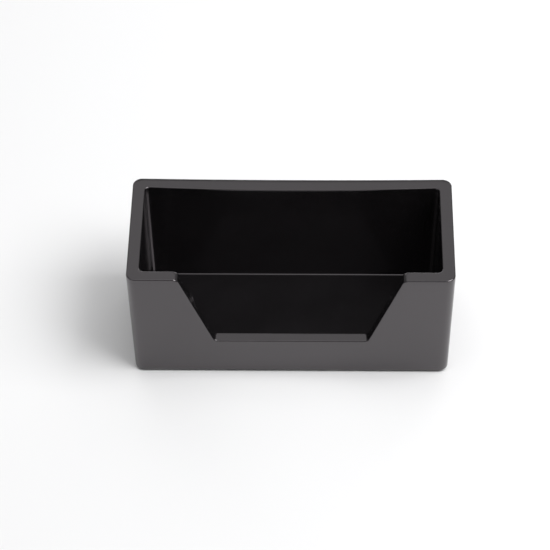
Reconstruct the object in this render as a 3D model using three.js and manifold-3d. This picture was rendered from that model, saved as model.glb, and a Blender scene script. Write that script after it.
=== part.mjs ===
// Countertop napkin dispenser: one thick-walled moulded box, open at the top, with a
// finger cut-out in its front wall, standing on four rubber feet.
// Millimetres, +Z up, front towards -Y. The origin is on the table, under the middle of the box.

import * as THREE from "three";
import { mergeVertices } from "three/addons/utils/BufferGeometryUtils.js";
import Module from "manifold-3d";

const wasm = await Module();
wasm.setup();

// ---------------------------------------------------------------- driving dimensions

// Overall size at the rim. The walls draw in towards the base so that the box leaves its mould.
const WIDTH = 190.5;
const DEPTH = 85.6;
const HEIGHT = 79.6;
const WALL = 7.4; // at the rim, in front and at the ends
const BACK_WALL = 7.9; // the same, at the back
const OUTSIDE_DRAFT = 1.9; // each outside wall moves in by this much from rim to table
const CORNER_RADIUS = 5.5; // upright outside edges
const EDGE_RADIUS = 0.8; // rim and base arrises

// Napkin bay
const FLOOR_TOP = 7.2; // height of the bay's floor above the table
const BAY_DRAFT = 1.0; // as OUTSIDE_DRAFT, for the bay's front and back
const BAY_END_DRAFT = 1.7; // the same, for the bay's ends
const BAY_CORNER_RADIUS = 3.0;
const BAY_FLOOR_FILLET = 1.5;

// The long back wall leans into the bay a little along its free top edge, most at the middle.
const BACK_BOW_OUTSIDE = 0.8;
const BACK_BOW_INSIDE = 2.2;
const BOW_POWER = 1.5; // how the lean grows from floor to rim

// Finger cut-out in the front wall, a trapezium that is wider at the rim
const CUTOUT_TOP_HALF = 65.6;
const CUTOUT_BOTTOM_HALF = 45.5;
const SILL_HEIGHT = 27.4;
const CUTOUT_TOP_RADIUS = 4.0;
const CUTOUT_BOTTOM_RADIUS = 3.5;

// Underside: a shallow sunk panel and one round pocket for each foot
const PANEL_WIDTH = 124;
const PANEL_DEPTH = 58;
const PANEL_SINK = 1.0;
const PANEL_RADIUS = 6;
const FOOT_DIAMETER = 12;
const FOOT_PROJECTION = 1.4; // how far a foot stands out below the base
const FOOT_POCKET_DEPTH = 1.5;
const FOOT_POCKET_CLEARANCE = 0.3; // round the foot, and above it where its glue is
const FOOT_EDGE_RADIUS = 0.5;
const FOOT_X = 76;
const FOOT_Y = 27;

// Facet counts
const ARC_STEPS = 8; // for a quarter turn
const BEVEL_STEPS = 3;
const UPRIGHT_STEPS = 6; // rows of facets between base and rim
const BACK_STEPS = 12; // columns of facets along the bowed back wall
const ROUND_STEPS = 48; // round a foot

const BASE = FOOT_PROJECTION;
const OVERCUT = 5; // how far a cutter runs past the face it opens

// ---------------------------------------------------------------- solids and booleans

// A closed three.js geometry as a manifold-3d solid, its shared vertices merged.
function solid(geometry) {
  const bare = geometry.clone();
  bare.deleteAttribute("normal");
  bare.deleteAttribute("uv");
  const merged = mergeVertices(bare, 1e-4);
  return new wasm.Manifold(
    new wasm.Mesh({
      numProp: 3,
      vertProperties: merged.attributes.position.array,
      triVerts: new Uint32Array(merged.index.array),
    }),
  );
}

// A manifold-3d solid back as a three.js geometry.
function geometryOf(made) {
  const { vertProperties, triVerts, numProp } = made.getMesh();
  const count = vertProperties.length / numProp;
  const positions = new Float32Array(count * 3);
  for (let i = 0; i < count; i++)
    positions.set(vertProperties.subarray(i * numProp, i * numProp + 3), i * 3);
  const geometry = new THREE.BufferGeometry();
  geometry.setAttribute("position", new THREE.BufferAttribute(positions, 3));
  geometry.setIndex(new THREE.BufferAttribute(new Uint32Array(triVerts), 1));
  geometry.computeVertexNormals();
  return geometry;
}

// ---------------------------------------------------------------- outlines

// A rounded rectangle about the origin. Its back side, at +Y, is cut into steps that can bow.
function roundedRectangle(width, depth, radius, backSteps = 1) {
  const x = width / 2 - radius;
  const y = depth / 2 - radius;
  const outline = new THREE.Shape();
  outline.moveTo(-x, -y - radius);
  outline.lineTo(x, -y - radius);
  outline.absarc(x, -y, radius, -Math.PI / 2, 0, false);
  outline.lineTo(x + radius, y);
  outline.absarc(x, y, radius, 0, Math.PI / 2, false);
  for (let i = 1; i <= backSteps; i++)
    outline.lineTo(x - (2 * x * i) / backSteps, y + radius);
  outline.absarc(-x, y, radius, Math.PI / 2, Math.PI, false);
  outline.lineTo(-x - radius, -y);
  outline.absarc(-x, -y, radius, Math.PI, 1.5 * Math.PI, false);
  return outline;
}

// The cut-out seen from the front: X across, Y up. Arcs round the sill's ends and the rim's corners.
function cutoutOutline() {
  const run = CUTOUT_TOP_HALF - CUTOUT_BOTTOM_HALF;
  const rise = HEIGHT - SILL_HEIGHT;
  const lean = Math.atan2(run, rise); // of the sloping sides, from upright
  const turn = Math.PI / 2 - lean; // between a sloping side and the rim, or the sill
  const topTangent = CUTOUT_TOP_RADIUS * Math.tan(turn / 2);
  const bottomTangent = CUTOUT_BOTTOM_RADIUS * Math.tan(turn / 2);
  const mouth = CUTOUT_TOP_HALF + topTangent;
  const sill = CUTOUT_BOTTOM_HALF - bottomTangent;
  const rimArcHeight = HEIGHT - CUTOUT_TOP_RADIUS;
  const sillArcHeight = SILL_HEIGHT + CUTOUT_BOTTOM_RADIUS;
  const half = Math.PI / 2;
  const outline = new THREE.Shape();
  outline.moveTo(-mouth, HEIGHT + OVERCUT);
  outline.lineTo(-mouth, HEIGHT);
  outline.absarc(-mouth, rimArcHeight, CUTOUT_TOP_RADIUS, half, lean, true);
  outline.absarc(
    -sill,
    sillArcHeight,
    CUTOUT_BOTTOM_RADIUS,
    Math.PI + lean,
    1.5 * Math.PI,
    false,
  );
  outline.absarc(
    sill,
    sillArcHeight,
    CUTOUT_BOTTOM_RADIUS,
    1.5 * Math.PI,
    2 * Math.PI - lean,
    false,
  );
  outline.absarc(
    mouth,
    rimArcHeight,
    CUTOUT_TOP_RADIUS,
    Math.PI - lean,
    half,
    true,
  );
  outline.lineTo(mouth, HEIGHT + OVERCUT);
  return outline;
}

// ---------------------------------------------------------------- drafted, bowed blocks

// How far the back wall leans in at x and z, as a share of the lean at the middle of the rim.
function bowShare(x, z, halfSpan) {
  const across = Math.max(0, 1 - (x / halfSpan) ** 2);
  const up = Math.min(
    1,
    Math.max(0, (z - FLOOR_TOP) / (HEIGHT - FLOOR_TOP)),
  );
  return across * up ** BOW_POWER;
}

// An upright block from bottom to top whose sides draw in downwards from their size at the rim,
// with rounded edges above and below, and a bow along its back side.
function draftedBlock({
  width,
  depth,
  radius,
  bottom,
  top,
  edge,
  draft,
  endDraft,
  bow,
}) {
  const geometry = new THREE.ExtrudeGeometry(
    roundedRectangle(width, depth, radius, BACK_STEPS),
    {
      depth: top - bottom - 2 * edge,
      steps: UPRIGHT_STEPS,
      curveSegments: ARC_STEPS,
      bevelEnabled: true,
      bevelThickness: edge,
      bevelSize: edge,
      bevelOffset: -edge,
      bevelSegments: BEVEL_STEPS,
    },
  ).translate(0, 0, bottom + edge);
  const halfSpan = width / 2 - radius;
  const position = geometry.attributes.position;
  for (let i = 0; i < position.count; i++) {
    const x = position.getX(i);
    const y = position.getY(i);
    const z = position.getZ(i);
    const fall = (HEIGHT - Math.min(z, HEIGHT)) / HEIGHT;
    const atBack = y > depth / 2 - radius ? 1 : 0;
    const lean = atBack * bow * bowShare(x, z, halfSpan);
    position.setX(i, x - Math.sign(x) * endDraft * fall);
    position.setY(i, y - Math.sign(y) * draft * fall - lean);
  }
  return geometry;
}

// ---------------------------------------------------------------- pieces

function boxBody() {
  const block = draftedBlock({
    width: WIDTH,
    depth: DEPTH,
    radius: CORNER_RADIUS,
    bottom: BASE,
    top: HEIGHT,
    edge: EDGE_RADIUS,
    draft: OUTSIDE_DRAFT,
    endDraft: OUTSIDE_DRAFT,
    bow: BACK_BOW_OUTSIDE,
  });
  const bay = draftedBlock({
    width: WIDTH - 2 * WALL,
    depth: DEPTH - WALL - BACK_WALL,
    radius: BAY_CORNER_RADIUS,
    bottom: FLOOR_TOP,
    top: HEIGHT + OVERCUT,
    edge: BAY_FLOOR_FILLET,
    draft: BAY_DRAFT,
    endDraft: BAY_END_DRAFT,
    bow: BACK_BOW_INSIDE,
  }).translate(0, (WALL - BACK_WALL) / 2, 0);
  // The cut-out runs back from in front of the front wall to the middle of the bay.
  const cutout = new THREE.ExtrudeGeometry(cutoutOutline(), {
    depth: DEPTH / 2 + OVERCUT,
    curveSegments: ARC_STEPS,
    bevelEnabled: false,
  }).rotateX(Math.PI / 2);
  const panel = new THREE.ExtrudeGeometry(
    roundedRectangle(PANEL_WIDTH, PANEL_DEPTH, PANEL_RADIUS),
    {
      depth: PANEL_SINK + OVERCUT,
      curveSegments: ARC_STEPS,
      bevelEnabled: false,
    },
  ).translate(0, 0, BASE - OVERCUT);
  let made = solid(block)
    .subtract(solid(bay))
    .subtract(solid(cutout))
    .subtract(solid(panel));
  const pocketHeight = FOOT_POCKET_DEPTH + OVERCUT;
  for (const [x, y] of FOOT_PLACES) {
    const pocket = new THREE.CylinderGeometry(
      FOOT_DIAMETER / 2 + FOOT_POCKET_CLEARANCE,
      FOOT_DIAMETER / 2 + FOOT_POCKET_CLEARANCE,
      pocketHeight,
      ROUND_STEPS,
    )
      .rotateX(Math.PI / 2)
      .translate(x, y, BASE - OVERCUT + pocketHeight / 2);
    made = made.subtract(solid(pocket));
  }
  return geometryOf(made);
}

// A flat rubber disc with a rounded lower edge, its lowest face on the table.
function footGeometry() {
  const radius = FOOT_DIAMETER / 2;
  const top = FOOT_PROJECTION + FOOT_POCKET_DEPTH - FOOT_POCKET_CLEARANCE;
  const profile = new THREE.Path();
  profile.moveTo(0, 0);
  profile.lineTo(radius - FOOT_EDGE_RADIUS, 0);
  profile.absarc(
    radius - FOOT_EDGE_RADIUS,
    FOOT_EDGE_RADIUS,
    FOOT_EDGE_RADIUS,
    -Math.PI / 2,
    0,
    false,
  );
  profile.lineTo(radius, top);
  profile.lineTo(0, top);
  return new THREE.LatheGeometry(
    profile.getPoints(BEVEL_STEPS),
    ROUND_STEPS,
  ).rotateX(Math.PI / 2);
}

// ---------------------------------------------------------------- materials and assembly

const moulding = new THREE.MeshStandardMaterial({
  color: 0x1a1a1b,
  roughness: 0.38,
  metalness: 0,
});
const footRubber = new THREE.MeshStandardMaterial({
  color: 0x0d0d0d,
  roughness: 0.85,
  metalness: 0,
});

const FOOT_NAMES = new Map([
  ["foot_front_left", [-FOOT_X, -FOOT_Y]],
  ["foot_front_right", [FOOT_X, -FOOT_Y]],
  ["foot_rear_left", [-FOOT_X, FOOT_Y]],
  ["foot_rear_right", [FOOT_X, FOOT_Y]],
]);
const FOOT_PLACES = [...FOOT_NAMES.values()];

function part(name, geometry, material) {
  const mesh = new THREE.Mesh(geometry, material);
  mesh.name = name;
  return mesh;
}

function feet() {
  const group = new THREE.Group();
  for (const [name, [x, y]] of FOOT_NAMES) {
    const foot = part(name, footGeometry(), footRubber);
    foot.position.set(x, y, 0);
    group.add(foot);
  }
  return group;
}

const dispenser = new THREE.Group();
dispenser.add(part("box_body", boxBody(), moulding), feet());

export default dispenser;
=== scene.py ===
"""Looks for the countertop napkin dispenser: a satin black moulded box on four rubber feet.

Metres, +Z up, front towards -Y, as the CAD frame has it.
"""

import math

import bmesh
import bpy
import numpy as np
from mathutils import Matrix, Vector


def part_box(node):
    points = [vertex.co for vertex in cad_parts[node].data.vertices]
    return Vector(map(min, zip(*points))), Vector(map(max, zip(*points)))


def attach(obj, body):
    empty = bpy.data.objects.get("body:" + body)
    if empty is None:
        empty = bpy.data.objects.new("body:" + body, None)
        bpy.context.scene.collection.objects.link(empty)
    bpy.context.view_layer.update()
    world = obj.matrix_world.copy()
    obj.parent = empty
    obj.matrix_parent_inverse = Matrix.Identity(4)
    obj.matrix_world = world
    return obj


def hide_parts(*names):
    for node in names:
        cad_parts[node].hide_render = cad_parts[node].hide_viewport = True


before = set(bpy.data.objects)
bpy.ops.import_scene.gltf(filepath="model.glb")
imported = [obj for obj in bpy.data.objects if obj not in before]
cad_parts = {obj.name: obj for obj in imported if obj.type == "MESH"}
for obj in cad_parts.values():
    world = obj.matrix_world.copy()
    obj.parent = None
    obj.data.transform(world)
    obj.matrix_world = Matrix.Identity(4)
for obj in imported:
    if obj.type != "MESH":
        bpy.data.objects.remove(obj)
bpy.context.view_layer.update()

MM = 0.001

# ------------------------------------------------------------------ sizes from the frame

BODY_LOW, BODY_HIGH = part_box("box_body")
BASE = BODY_LOW.z
RIM = BODY_HIGH.z

# ------------------------------------------------------------------ sizes of the box

EDGE = 0.8 * MM  # radius of the rim's and the base's outer arris
RIM_INNER_EDGE = 0.7 * MM
OUTSIDE_DRAFT = 1.9 * MM  # each outside wall moves in by this much from rim to table
BAY_DRAFT = 1.0 * MM  # the same for the bay's front and back
BAY_END_DRAFT = 1.7 * MM  # and for its ends
WALL = 7.4 * MM  # at the rim, in front and at the ends
BACK_WALL = 7.9 * MM  # at the rim, at the back's ends
CORNER = 5.5 * MM  # radius of the upright outside corners
BAY_CORNER = 3.0 * MM  # radius of the bay's upright corners
BAY_FLOOR = 7.2 * MM  # height above the table
FLOOR_FILLET = 1.1 * MM  # round the bay's floor, a little tighter than the CAD's 1.5 mm

# The back wall comes in towards the bay, most at the middle of its rim.
BACK_BOW_OUTSIDE = 0.8 * MM
BACK_BOW_INSIDE = 2.2 * MM
BOW_POWER = 1.5  # how the bow grows from floor to rim
BOW_FROM = 0.5  # the share of the box's half depth where a surface starts to count as the back
BOW_BLEND = 0.2  # and the share over which it comes to count in full

# The CAD box is as wide as the wall is where the rim's arris starts. At the rim's own height the
# leaning wall planes are a little wider.
HALF_X = BODY_HIGH.x + OUTSIDE_DRAFT * EDGE / RIM
HALF_Y = BODY_HIGH.y + OUTSIDE_DRAFT * EDGE / RIM

# The cut-out in the front wall: half widths at the rim and at the sill
CUTOUT_TOP = 65.6 * MM
CUTOUT_BOTTOM = 45.5 * MM
SILL = 27.4 * MM  # height above the table
CUTOUT_TOP_RADIUS = 4.0 * MM
CUTOUT_BOTTOM_RADIUS = 3.5 * MM

# The sunk panel in the underside: half its width and half its depth
PANEL_X = 62.0 * MM
PANEL_Y = 29.0 * MM
PANEL_RADIUS = 6.0 * MM
PANEL_SINK = 1.0 * MM
PANEL_EDGE = 0.4 * MM

POCKET_GAP = 0.3 * MM  # round each foot and above it
POCKET_CHAMFER = 0.3 * MM
CUTTER_OVERRUN = 2.0 * MM  # how far a pocket's cutter stands out below the base

FOOT_EDGE = 0.5 * MM  # radius of a foot's lower edge
FOOT_TOP_CHAMFER = 0.2 * MM
FOOT_DISH = 1.6 * MM  # radius of the dished middle
FOOT_DISH_DEPTH = 0.25 * MM
FOOT_DISH_SLOPE = 0.3 * MM  # width of the slope round the dish
FOOT_GROOVES = (2.9 * MM, 4.1 * MM)  # radii of the rings of grooves
FOOT_GROOVE = 0.35 * MM  # radius of a groove's section
FOOT_LAND = 0.1 * MM  # width of the narrow ring of flat beside the rounded edge
FOOT_HUB = 0.3 * MM  # radius of the smallest ring, which a flat lid closes

# Mesh density
ARC = 10  # steps on each rounded corner of the cut-out
WALL_ROWS = 16  # rows up a wall, and stations along each slope of the cut-out
EDGE_STEPS = 7  # rows round an arris, a foot's edge or a groove
FILLET_ROWS = 7  # rows round the bay's floor
PANEL_EDGE_STEPS = 5
FLOOR_MARGIN = 1.0 * MM  # from the fillet to the lid that closes the bay's floor
PANEL_MARGIN = 3.0 * MM  # from the sunk panel's edge to the lid that closes it
TURN_STEPS = 64  # round a foot and its pocket

SHARP_BOX_EDGE = 32  # degrees; edges sharper than this aren't shaded as round
SHARP_FOOT_EDGE = 40
BOX_WEAR_ANGLE = 12  # degrees between facets at which an edge is worn in full
FOOT_WEAR_ANGLE = 20


# ------------------------------------------------------------------ mesh helpers


def mesh_piece(name, points, faces):
    """A new object in the scene, from points in metres and faces as lists of their numbers."""
    mesh = bpy.data.meshes.new(name)
    mesh.from_pydata([tuple(p) for p in points], [], faces)
    mesh.validate()
    piece = bpy.data.objects.new(name, mesh)
    bpy.context.scene.collection.objects.link(piece)
    return piece


def skin_rows(rows):
    """Faces of a closed skin over loops of equal length, with a lid on the first and the last."""
    count = len(rows[0])
    faces = [list(range(count))[::-1]]
    for r in range(len(rows) - 1):
        low = r * count
        high = low + count
        for i in range(count):
            j = (i + 1) % count
            faces.append([low + i, low + j, high + j, high + i])
    last = (len(rows) - 1) * count
    faces.append([last + i for i in range(count)])
    return faces


def lathe(name, profile, centre):
    """A solid turned about an upright axis, with a flat lid at each end of its profile."""
    angles = np.linspace(0, 2 * math.pi, TURN_STEPS, endpoint=False)
    rows = []
    for radius, z in profile:
        x = centre.x + radius * np.cos(angles)
        y = centre.y + radius * np.sin(angles)
        rows.append(np.column_stack([x, y, np.full(TURN_STEPS, z)]))
    return mesh_piece(name, np.vstack(rows), skin_rows(rows))


def arc_profile(centre, radius, start, end, steps):
    """Points of an arc in a section plane, angles in degrees."""
    angles = np.radians(np.linspace(start, end, steps))
    return [(centre[0] + radius * math.cos(a), centre[1] + radius * math.sin(a)) for a in angles]


def smooth_with_sharp_edges(piece, degrees):
    """Shades the piece smooth, apart from edges that turn by more than this."""
    for polygon in piece.data.polygons:
        polygon.use_smooth = True
    piece.data.set_sharp_from_angle(angle=math.radians(degrees))


def mark_worn_edges(piece, full_degrees):
    """Stores on each vertex how sharply the surface turns outwards there, from 0 to 1."""
    edit = bmesh.new()
    edit.from_mesh(piece.data)
    layer = edit.verts.layers.float.new("edge_wear")
    full = math.radians(full_degrees)
    for vertex in edit.verts:
        turns = [e.calc_face_angle_signed(0) for e in vertex.link_edges if e.is_manifold]
        vertex[layer] = min(1.0, max(0.0, max(turns, default=0)) / full)
    edit.to_mesh(piece.data)
    edit.free()


# ------------------------------------------------------------------ the box's outline


def cutout_left_half():
    """The rim line of the cut-out's left half, seen from the front.

    Each point comes with the direction that leads out of the wall there.
    """
    lean = math.atan2(CUTOUT_TOP - CUTOUT_BOTTOM, RIM - SILL)
    half_turn = (math.pi / 2 - lean) / 2
    mouth = CUTOUT_TOP + CUTOUT_TOP_RADIUS * math.tan(half_turn)
    sill = CUTOUT_BOTTOM - CUTOUT_BOTTOM_RADIUS * math.tan(half_turn)

    def arc(centre_x, centre_z, radius, start, end):
        """The line round a corner. A negative radius is for a corner that is hollow."""
        centre = Vector((centre_x, centre_z))
        ways_out = [Vector((math.cos(a), math.sin(a))) for a in np.linspace(start, end, ARC + 1)]
        return [(centre + out * radius, out) for out in ways_out]

    top_arc = arc(-mouth, RIM - CUTOUT_TOP_RADIUS, CUTOUT_TOP_RADIUS, math.pi / 2, lean)
    low_arc = arc(-sill, SILL + CUTOUT_BOTTOM_RADIUS, -CUTOUT_BOTTOM_RADIUS, lean, math.pi / 2)
    slope_start, out = top_arc[-1]
    slope_end = low_arc[0][0]
    slope = []
    for share in np.linspace(0, 1, WALL_ROWS + 1)[1:-1]:
        slope.append((slope_start.lerp(slope_end, share), out))
    sill_line = []
    for share in np.linspace(0, 1, WALL_ROWS // 2 + 1)[1:]:
        sill_line.append((Vector((-sill * (1 - share), SILL)), Vector((0, 1))))
    return top_arc + slope + low_arc + sill_line


def cutout_line():
    """The whole rim line of the cut-out from left to right: x and z, and the way out in x and z."""
    left = cutout_left_half()
    right = [(Vector((-p.x, p.y)), Vector((-out.x, out.y))) for p, out in reversed(left[:-1])]
    line = left + right
    x = np.array([p.x for p, _ in line])
    z = np.array([p.y for p, _ in line])
    out_x = np.array([out.x for _, out in line])
    out_z = np.array([out.y for _, out in line])
    return x, z, out_x, out_z


CUT_X, CUT_Z, CUT_OUT_X, CUT_OUT_Z = cutout_line()

# Stations round the box
RIM_STEPS = 8  # on each stretch of front rim beside the cut-out
SIDE_STEPS = 16
BACK_STEPS = 48
CORNER_STEPS = 12


def around(cut_part, other_part):
    """One number for each station round the box, the same at all of them but the cut-out's."""
    after = RIM_STEPS + 4 * CORNER_STEPS + 2 * SIDE_STEPS + BACK_STEPS
    return np.concatenate([np.full(RIM_STEPS, other_part), cut_part, np.full(after, other_part)])


TOP_Z = around(CUT_Z, RIM)
TOP_OUT_Z = around(CUT_OUT_Z, 1.0)


def plan_loop(half_x, half_y, radius, cut_x):
    """Plan of a rounded rectangle, station by station from the left end of its front side.

    half_x and half_y are one number, or one for each station. cut_x has the cut-out's stations.
    """
    half_x = np.broadcast_to(half_x, TOP_Z.shape)
    half_y = np.broadcast_to(half_y, TOP_Z.shape)
    x, y = [], []

    def add(centre_x, centre_y, offset_x, offset_y):
        """A station at an offset from a corner's centre, or from a place between two centres."""
        station = len(x)
        x.append(centre_x * (half_x[station] - radius) + offset_x)
        y.append(centre_y * (half_y[station] - radius) + offset_y)

    def straight(start, end, outward, steps):
        """Stations from corner centre to corner centre, without the ends."""
        for share in np.linspace(0, 1, steps + 2)[1:-1]:
            across = start[0] + (end[0] - start[0]) * share
            along = start[1] + (end[1] - start[1]) * share
            add(across, along, outward[0] * radius, outward[1] * radius)

    def corner(sign_x, sign_y, start_angle):
        """A quarter turn round a corner's centre."""
        for angle in np.linspace(start_angle, start_angle + math.pi / 2, CORNER_STEPS):
            add(sign_x, sign_y, radius * math.cos(angle), radius * math.sin(angle))

    def front(positions):
        """Stations at these places along the front side."""
        for position in positions:
            y.append(-half_y[len(x)])
            x.append(position)

    corner_x = half_x[0] - radius
    beside = np.linspace(0, 1, RIM_STEPS + 2)[1:-1]
    front(-corner_x + (corner_x + cut_x[0]) * beside)
    front(cut_x)
    front(cut_x[-1] + (corner_x - cut_x[-1]) * beside)
    corner(1, -1, -math.pi / 2)
    straight((1, -1), (1, 1), (1, 0), SIDE_STEPS)
    corner(1, 1, 0)
    straight((1, 1), (-1, 1), (0, 1), BACK_STEPS)
    corner(-1, 1, math.pi / 2)
    straight((-1, 1), (-1, -1), (-1, 0), SIDE_STEPS)
    corner(-1, -1, math.pi)
    return np.array(x), np.array(y)


def draft_at(z, draft):
    """How far a wall has moved in at height z, when it moves in by draft from rim to table."""
    return draft * (RIM - z) / RIM


def bowed(x, y, z, half_x, bow):
    """y with the back side moved in by the bow, most at the middle of the rim."""
    across = np.clip(1 - (x / half_x) ** 2, 0, 1)
    up = np.clip((z - BAY_FLOOR) / (RIM - BAY_FLOOR), 0, 1) ** BOW_POWER
    at_back = np.clip((y - HALF_Y * BOW_FROM) / (HALF_Y * BOW_BLEND), 0, 1)
    return y - bow * across * up * at_back


def outside_loop(drop, z, inward=0.0):
    """Outside surface at height z, drop below the rim line along the cut-out, moved in by inward."""
    inset = draft_at(z, OUTSIDE_DRAFT) + inward
    x, y = plan_loop(HALF_X - inset, HALF_Y - inset, CORNER - inward, CUT_X - drop * CUT_OUT_X)
    y = bowed(x, y, z, HALF_X - CORNER, BACK_BOW_OUTSIDE)
    return np.column_stack([x, y, z])


def bay_loop(drop, z, outward=0.0):
    """Bay surface at height z, drop below the rim line along the cut-out, moved out into the wall."""
    half_x = HALF_X - WALL - draft_at(z, BAY_END_DRAFT) + outward
    half_y = HALF_Y - (WALL + BACK_WALL) / 2 - draft_at(z, BAY_DRAFT) + outward
    radius = BAY_CORNER + outward
    x, y = plan_loop(half_x, half_y, radius, CUT_X - drop * CUT_OUT_X)
    y += (WALL - BACK_WALL) / 2
    y = bowed(x, y, z, HALF_X - WALL - BAY_CORNER, BACK_BOW_INSIDE)
    return np.column_stack([x, y, z])


def below_rim(drop):
    """Heights of the stations that lie drop below the rim line, square to it."""
    return TOP_Z - drop * TOP_OUT_Z


def underside_rows():
    """From the middle of the sunk panel out to the flat round it."""
    rows = []
    panel_top = BASE + PANEL_SINK

    def row(half_x, half_y, radius, z):
        x, y = plan_loop(half_x, half_y, radius, CUT_X * half_x / HALF_X)
        rows.append(np.column_stack([x, y, np.full(len(x), z)]))

    row(PANEL_X - PANEL_MARGIN, PANEL_Y - PANEL_MARGIN, PANEL_RADIUS - PANEL_MARGIN, panel_top)
    inner = arc_profile((-PANEL_EDGE, panel_top - PANEL_EDGE), PANEL_EDGE, 90, 0, PANEL_EDGE_STEPS)
    outer = arc_profile((PANEL_EDGE, BASE + PANEL_EDGE), PANEL_EDGE, 180, 270, PANEL_EDGE_STEPS)
    for out, z in inner + outer:
        row(PANEL_X + out, PANEL_Y + out, PANEL_RADIUS + out, z)
    return rows


def box_rows():
    """Every row of the box's skin, from the underside's middle over the rim to the bay's floor."""
    rows = underside_rows()
    # Base arris
    base = np.full(len(TOP_Z), BASE)
    for angle in np.linspace(math.pi / 2, 0, EDGE_STEPS):
        z = base + EDGE * (1 - math.sin(angle))
        rows.append(outside_loop(0, z, EDGE * (1 - math.cos(angle))))
    # Outside walls, from just above the base arris to just below the rim's
    for share in np.linspace(0, 1, WALL_ROWS + 1)[1:]:
        z = base + EDGE + (below_rim(EDGE) - base - EDGE) * share
        rows.append(outside_loop(EDGE * share, z))
    # Rim: outer arris, flat, inner arris
    for angle in np.linspace(0, math.pi / 2, EDGE_STEPS)[1:]:
        drop = EDGE * (1 - math.sin(angle))
        rows.append(outside_loop(drop, below_rim(drop), EDGE * (1 - math.cos(angle))))
    outer = rows[-1]
    inner_rows = []
    for angle in np.linspace(math.pi / 2, 0, EDGE_STEPS):
        drop = RIM_INNER_EDGE * (1 - math.sin(angle))
        out = RIM_INNER_EDGE * (1 - math.cos(angle))
        inner_rows.append(bay_loop(drop, below_rim(drop), out))
    for share in (1 / 3, 2 / 3):
        rows.append(outer + (inner_rows[0] - outer) * share)
    rows += inner_rows
    # Bay walls, floor fillet, floor
    bottom = BAY_FLOOR + FLOOR_FILLET
    for share in np.linspace(1, 0, WALL_ROWS + 1)[1:]:
        z = bottom + (below_rim(RIM_INNER_EDGE) - bottom) * share
        rows.append(bay_loop(RIM_INNER_EDGE * share, z))
    for angle in np.linspace(0, math.pi / 2, FILLET_ROWS + 1)[1:]:
        z = np.full(len(TOP_Z), bottom - FLOOR_FILLET * math.sin(angle))
        rows.append(bay_loop(0, z, -FLOOR_FILLET * (1 - math.cos(angle))))
    rows.append(bay_loop(0, np.full(len(TOP_Z), BAY_FLOOR), -FLOOR_FILLET - FLOOR_MARGIN))
    return rows


# ------------------------------------------------------------------ pieces

FOOT_NODES = [name for name in sorted(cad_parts) if name.startswith("foot_")]


def foot_size(node):
    """A foot's middle, radius, bottom and top, from its CAD box."""
    low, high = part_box(node)
    return (low + high) / 2, (high.x - low.x) / 2, low.z, high.z


def pocket_cutter(node):
    """A foot's pocket, with a chamfered mouth, to be taken out of the box."""
    centre, radius, _, top = foot_size(node)
    hole = radius + POCKET_GAP
    roof = top + POCKET_GAP
    profile = [
        (hole + POCKET_CHAMFER + CUTTER_OVERRUN, BASE - CUTTER_OVERRUN),
        (hole, BASE + POCKET_CHAMFER),
        (hole, roof),
    ]
    return lathe("cutter", profile, centre)


def make_box():
    """The moulded box: one skin, less the four pockets."""
    rows = box_rows()
    piece = mesh_piece("moulded_box", np.vstack(rows), skin_rows(rows))
    for node in FOOT_NODES:
        cutter = pocket_cutter(node)
        cut = piece.modifiers.new("pocket", "BOOLEAN")
        cut.operation = "DIFFERENCE"
        cut.solver = "EXACT"
        cut.object = cutter
        bpy.context.view_layer.objects.active = piece
        bpy.ops.object.modifier_apply(modifier=cut.name)
        bpy.data.objects.remove(cutter)
    smooth_with_sharp_edges(piece, SHARP_BOX_EDGE)
    mark_worn_edges(piece, BOX_WEAR_ANGLE)
    return piece


def make_foot(node):
    """A round foot with a dished middle and two rings of grooves, on its underside."""
    centre, radius, low, high = foot_size(node)
    edge_centre = radius - FOOT_EDGE
    dish = low + FOOT_DISH_DEPTH
    profile = [(FOOT_HUB, dish), (FOOT_DISH, dish), (FOOT_DISH + FOOT_DISH_SLOPE, low)]
    for groove in FOOT_GROOVES:
        profile += arc_profile((groove, low), FOOT_GROOVE, 180, 0, EDGE_STEPS)
    profile += [(edge_centre - FOOT_LAND, low)]
    profile += arc_profile((edge_centre, low + FOOT_EDGE), FOOT_EDGE, 270, 360, EDGE_STEPS)
    profile += [(radius, high - FOOT_TOP_CHAMFER), (radius - FOOT_TOP_CHAMFER, high)]
    profile += [(FOOT_HUB, high)]
    piece = lathe("rubber_" + node, profile, centre)
    smooth_with_sharp_edges(piece, SHARP_FOOT_EDGE)
    mark_worn_edges(piece, FOOT_WEAR_ANGLE)
    return piece


# ------------------------------------------------------------------ materials


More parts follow.
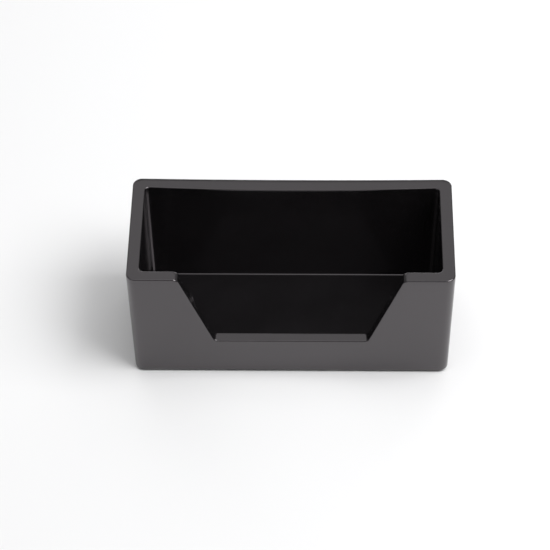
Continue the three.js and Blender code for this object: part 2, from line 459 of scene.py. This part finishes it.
class Nodes:
    """A short way to write a material's node tree."""

    def __init__(self, name):
        self.material = bpy.data.materials.new(name)
        self.material.use_nodes = True
        self.tree = self.material.node_tree
        self.shader = self.tree.nodes["Principled BSDF"]
        self.place = self.add("ShaderNodeTexCoord").outputs["Object"]

    def add(self, kind, **settings):
        node = self.tree.nodes.new(kind)
        for key, value in settings.items():
            setattr(node, key, value)
        return node

    def put(self, socket, value):
        """Links another node's output to the socket, or sets a plain value on it."""
        if isinstance(value, bpy.types.NodeSocket):
            self.tree.links.new(value, socket)
        else:
            socket.default_value = value

    def noise(self, scale, detail=3.0, roughness=0.5, place=None):
        node = self.add("ShaderNodeTexNoise")
        self.put(node.inputs["Vector"], place or self.place)
        node.inputs["Scale"].default_value = scale
        node.inputs["Detail"].default_value = detail
        node.inputs["Roughness"].default_value = roughness
        return node.outputs["Fac"]

    def stretched(self, turn, scale):
        """Object coordinates turned, then scaled by a different number each way."""
        node = self.add("ShaderNodeMapping")
        self.put(node.inputs["Vector"], self.place)
        node.inputs["Rotation"].default_value = [math.radians(a) for a in turn]
        node.inputs["Scale"].default_value = scale
        return node.outputs["Vector"]

    def ramp(self, value, low, high, to_low=0.0, to_high=1.0):
        """Goes smoothly from to_low to to_high as value goes from low to high."""
        node = self.add("ShaderNodeMapRange", interpolation_type="SMOOTHSTEP")
        self.put(node.inputs["Value"], value)
        node.inputs["From Min"].default_value = low
        node.inputs["From Max"].default_value = high
        node.inputs["To Min"].default_value = to_low
        node.inputs["To Max"].default_value = to_high
        return node.outputs["Result"]

    def math(self, operation, a, b):
        node = self.add("ShaderNodeMath", operation=operation)
        self.put(node.inputs[0], a)
        self.put(node.inputs[1], b)
        return node.outputs["Value"]

    def mix(self, share, a, b):
        node = self.add("ShaderNodeMix", data_type="RGBA")
        self.put(node.inputs["Factor"], share)
        self.put(node.inputs["A"], a)
        self.put(node.inputs["B"], b)
        return node.outputs["Result"]

    def bump(self, height, distance, normal=None):
        node = self.add("ShaderNodeBump")
        self.put(node.inputs["Height"], height)
        node.inputs["Distance"].default_value = distance
        if normal is not None:
            self.put(node.inputs["Normal"], normal)
        return node.outputs["Normal"]

    def attribute(self, name):
        return self.add("ShaderNodeAttribute", attribute_name=name).outputs["Fac"]


# Colours are linear red, green, blue and alpha.
MOULDING_BLACK = (0.0060, 0.0055, 0.0060, 1)
MOULDING_SMUDGED = (0.0078, 0.0072, 0.0078, 1)
MOULDING_WORN = (0.016, 0.015, 0.016, 1)
MOULDING_GLOSS_TINT = (1.0, 0.935, 0.975, 1)
MOULDING_IOR = 1.84
SMUDGE_ROUGHNESS = (0.11, 0.15)
GRAIN_HEIGHT = 0.004 * MM
WORN_COLOUR_SHARE = 0.35
WORN_SMOOTHING = 0.05  # taken off the roughness of a worn edge
RUBBER_BLACK = (0.011, 0.011, 0.011, 1)
RUBBER_DUSTY = (0.030, 0.029, 0.028, 1)
FLOOR_COLOUR = (0.86, 0.86, 0.865, 1)

SCUFF_STRETCH = (25, 2600, 900)  # long one way, as thin as a hair across
SCUFF_SOFTNESS = 0.05
SCUFF_ROUGHNESS = 0.08
SCUFF_DEPTH = 0.002 * MM


def scuffs(nodes, turn, threshold):
    """Fine hairlines that run one way, in patches, from 0 to 1. turn is in degrees."""
    along = nodes.stretched(turn, SCUFF_STRETCH)
    lines = nodes.noise(scale=1.0, detail=2.0, roughness=0.6, place=along)
    patches = nodes.ramp(nodes.noise(scale=45, detail=2.0), low=0.45, high=0.7)
    clear = nodes.ramp(lines, low=threshold, high=threshold + SCUFF_SOFTNESS)
    return nodes.math("MULTIPLY", clear, patches)


def moulding_material():
    nodes = Nodes("satin_black_moulding")
    smudge = nodes.noise(scale=28, detail=4.0, roughness=0.55)
    grain = nodes.noise(scale=2200, detail=2.0, roughness=0.5)
    wear_patches = nodes.ramp(nodes.noise(scale=160, detail=4.0), low=0.35, high=0.75)
    worn = nodes.math("MULTIPLY", nodes.attribute("edge_wear"), wear_patches)
    one_way = scuffs(nodes, turn=(0, 0, 24), threshold=0.68)
    other_way = scuffs(nodes, turn=(90, 0, -31), threshold=0.70)
    lines = nodes.math("ADD", one_way, other_way)

    smudged = nodes.ramp(smudge, low=0.3, high=0.7)
    black = nodes.mix(smudged, MOULDING_BLACK, MOULDING_SMUDGED)
    black = nodes.mix(nodes.math("MULTIPLY", worn, WORN_COLOUR_SHARE), black, MOULDING_WORN)
    nodes.put(nodes.shader.inputs["Base Color"], black)

    rough = nodes.ramp(smudge, 0.3, 0.7, *SMUDGE_ROUGHNESS)
    rough = nodes.math("ADD", rough, nodes.math("MULTIPLY", lines, SCUFF_ROUGHNESS))
    rough = nodes.math("SUBTRACT", rough, nodes.math("MULTIPLY", worn, WORN_SMOOTHING))
    nodes.put(nodes.shader.inputs["Roughness"], rough)

    normal = nodes.bump(grain, GRAIN_HEIGHT)
    normal = nodes.bump(lines, -SCUFF_DEPTH, normal)
    nodes.put(nodes.shader.inputs["Normal"], normal)
    nodes.shader.inputs["IOR"].default_value = MOULDING_IOR
    nodes.shader.inputs["Specular Tint"].default_value = MOULDING_GLOSS_TINT
    return nodes.material


def rubber_material():
    nodes = Nodes("foot_rubber")
    dust = nodes.ramp(nodes.noise(scale=420, detail=5.0), low=0.45, high=0.75)
    nodes.put(nodes.shader.inputs["Base Color"], nodes.mix(dust, RUBBER_BLACK, RUBBER_DUSTY))
    rough = nodes.ramp(dust, low=0, high=1, to_low=0.72, to_high=0.9)
    nodes.put(nodes.shader.inputs["Roughness"], rough)
    grain = nodes.noise(scale=3000, detail=2.0)
    nodes.put(nodes.shader.inputs["Normal"], nodes.bump(grain, 0.01 * MM))
    return nodes.material


def floor_material():
    nodes = Nodes("pale_floor")
    nodes.shader.inputs["Base Color"].default_value = FLOOR_COLOUR
    nodes.shader.inputs["Roughness"].default_value = 0.6
    nodes.shader.inputs["Specular IOR Level"].default_value = 0.2
    return nodes.material


# ------------------------------------------------------------------ stage, light and camera

# The camera was fitted to the box's edges, in the photograph's square frame.
AIM = Vector((-9.96, -1.77, 42.55)) * MM  # the point in the middle of the picture
CAMERA_DISTANCE = 1.551  # metres from there
CAMERA_PITCH = math.radians(45.55)  # down from the horizon
CAMERA_YAW = math.radians(1.542)  # the camera stands this far round to the right
CAMERA_ROLL = math.radians(0.842)  # and is turned clockwise, seen from behind it
CAMERA_LENS = 170.1  # millimetres
FLOOR_SIZE = 30.0
LIGHT_AIM = Vector((0, 0, 0.03))
WORLD_STRENGTH = 0.22


def make_floor():
    half = FLOOR_SIZE / 2
    corners = [(-half, -half, 0), (half, -half, 0), (half, half, 0), (-half, half, 0)]
    floor = mesh_piece("floor", corners, [[0, 1, 2, 3]])
    floor.data.materials.append(floor_material())


def make_world():
    world = bpy.data.worlds.new("studio")
    world.use_nodes = True
    bpy.context.scene.world = world
    background = world.node_tree.nodes["Background"]
    background.inputs["Color"].default_value = (1, 1, 1, 1)
    background.inputs["Strength"].default_value = WORLD_STRENGTH


def softbox(name, place, size, power):
    """A soft light of the given width and height, in metres and watts, aimed at the box."""
    light = bpy.data.lights.new(name, "AREA")
    light.shape = "RECTANGLE"
    light.size, light.size_y = size
    light.energy = power
    lamp = bpy.data.objects.new(name, light)
    bpy.context.scene.collection.objects.link(lamp)
    lamp.location = place
    lamp.rotation_euler = (LIGHT_AIM - Vector(place)).to_track_quat("-Z", "Y").to_euler()


def make_lights():
    """A key high on the right, a wide canopy overhead, and strips behind for the rim to mirror."""
    softbox("key", place=(0.69, -0.25, 1.19), size=(0.9, 0.8), power=15.0)
    softbox("canopy", place=(0.0, -0.1, 1.9), size=(2.6, 1.8), power=14.5)
    softbox("behind_high", place=(0.0, 1.07, 1.31), size=(2.0, 0.6), power=1.95)
    softbox("behind", place=(0.0, 1.5, 0.8), size=(2.2, 0.5), power=2.0)
    softbox("behind_low", place=(0.0, 1.76, 0.37), size=(2.4, 0.4), power=14.0)


def make_camera():
    turn = (
        Matrix.Rotation(CAMERA_YAW, 3, "Z")
        @ Matrix.Rotation(math.pi / 2 - CAMERA_PITCH, 3, "X")
        @ Matrix.Rotation(-CAMERA_ROLL, 3, "Z")
    )
    camera = bpy.data.objects.new("camera", bpy.data.cameras.new("camera"))
    bpy.context.scene.collection.objects.link(camera)
    camera.data.lens = CAMERA_LENS
    camera.data.clip_end = 2 * FLOOR_SIZE
    camera.rotation_euler = turn.to_euler()
    camera.location = AIM - turn @ Vector((0, 0, -CAMERA_DISTANCE))
    bpy.context.scene.camera = camera


# ------------------------------------------------------------------ the scene

make_camera()
make_floor()
make_world()
make_lights()
bpy.context.scene.view_settings.view_transform = "Standard"

box = make_box()
box.data.materials.append(moulding_material())
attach(box, "root")
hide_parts("box_body")

rubber = rubber_material()
for node in FOOT_NODES:
    foot = make_foot(node)
    foot.data.materials.append(rubber)
    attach(foot, "root")
    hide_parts(node)
